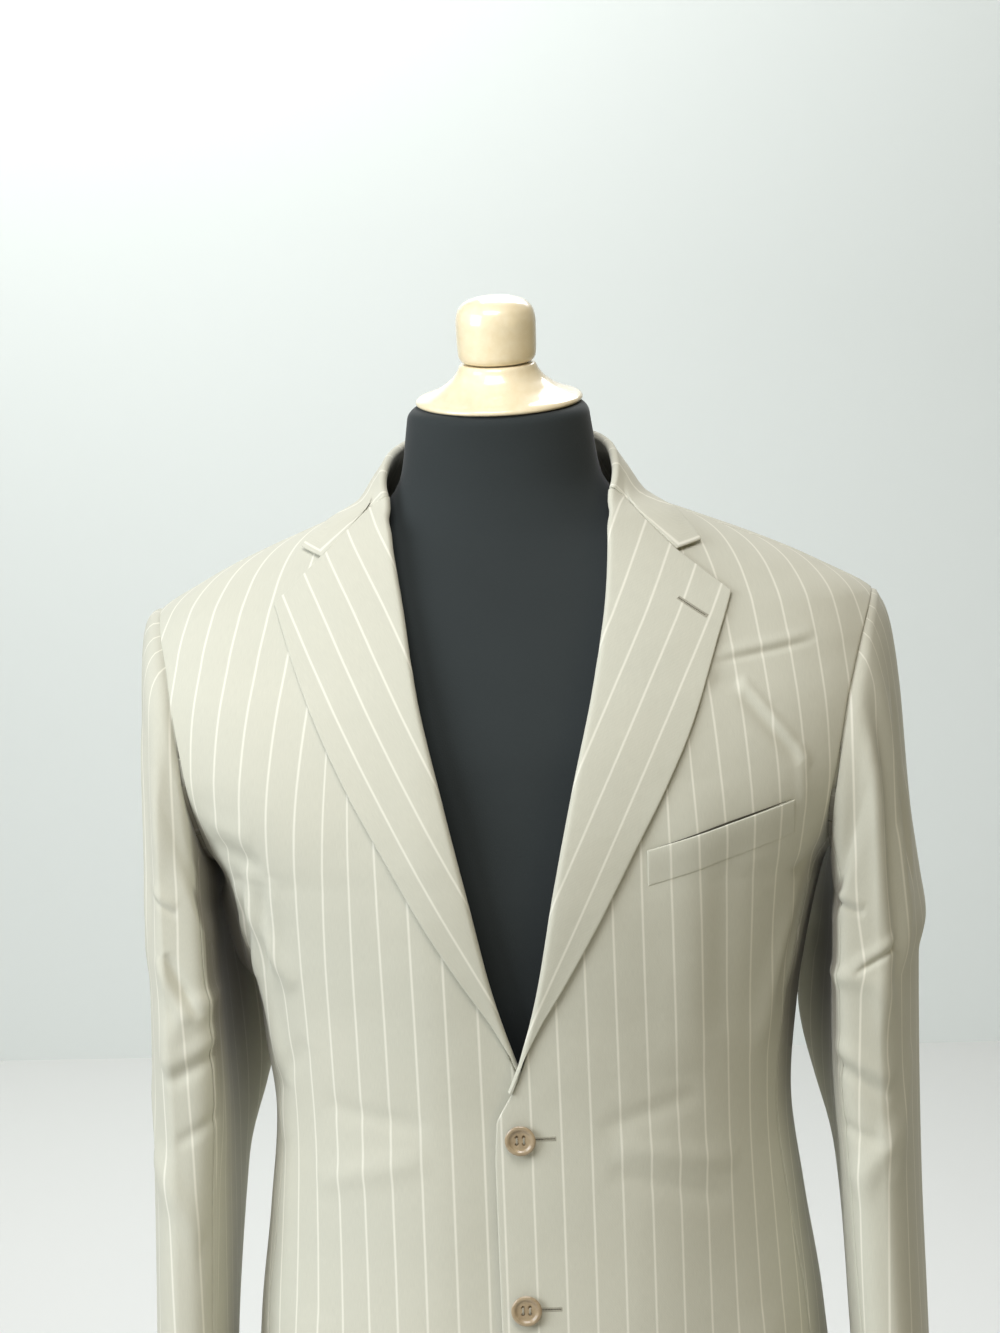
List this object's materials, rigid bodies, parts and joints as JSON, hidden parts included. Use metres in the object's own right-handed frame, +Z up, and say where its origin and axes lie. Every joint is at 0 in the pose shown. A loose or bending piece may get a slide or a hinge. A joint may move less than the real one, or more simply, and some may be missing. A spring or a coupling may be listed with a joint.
{
  "type": "two-piece suit worn by a dress form on a stand",
  "caption": "Notch-lapel jacket and matching trousers worn by a limbless dress form with a wooden neck cap on a pole stand.",
  "frame": {"origin": "centre of the stand's underside, on the floor", "axes": "+Z up, the suit's front faces -Y, +X towards the wearer's left"},
  "size_m": [0.526, 0.38, 1.6463],
  "materials": {
    "suit_cloth": "matte woven",
    "button_horn": "semi-gloss",
    "form_jersey": "matte knitted",
    "varnished_wood": "glossy varnish",
    "stand_steel": "brushed"
  },
  "bodies": {
    "root": {"breast_welt": "suit_cloth", "collar": "suit_cloth", "cuff_button_left_1": "button_horn", "cuff_button_left_2": "button_horn", "cuff_button_left_3": "button_horn", "cuff_button_right_1": "button_horn", "cuff_button_right_2": "button_horn", "cuff_button_right_3": "button_horn", "flap_left": "suit_cloth", "flap_right": "suit_cloth", "fly": "suit_cloth", "form_torso": "form_jersey", "front_button_1": "button_horn", "front_button_2": "button_horn", "jacket_back_left": "suit_cloth", "jacket_back_right": "suit_cloth", "jacket_front_left": "suit_cloth", "jacket_front_right": "suit_cloth", "jacket_side_left": "suit_cloth", "jacket_side_right": "suit_cloth", "lapel_left": "suit_cloth", "lapel_right": "suit_cloth", "neck_cap": "varnished_wood", "neck_knob": "varnished_wood", "sleeve_top_left": "suit_cloth", "sleeve_top_right": "suit_cloth", "sleeve_under_left": "suit_cloth", "sleeve_under_right": "suit_cloth", "stand_base": "varnished_wood", "stand_pole": "stand_steel", "trouser_back_left": "suit_cloth", "trouser_back_right": "suit_cloth", "trouser_front_left": "suit_cloth", "trouser_front_right": "suit_cloth", "waistband": "suit_cloth"}
  },
  "joints": []
}
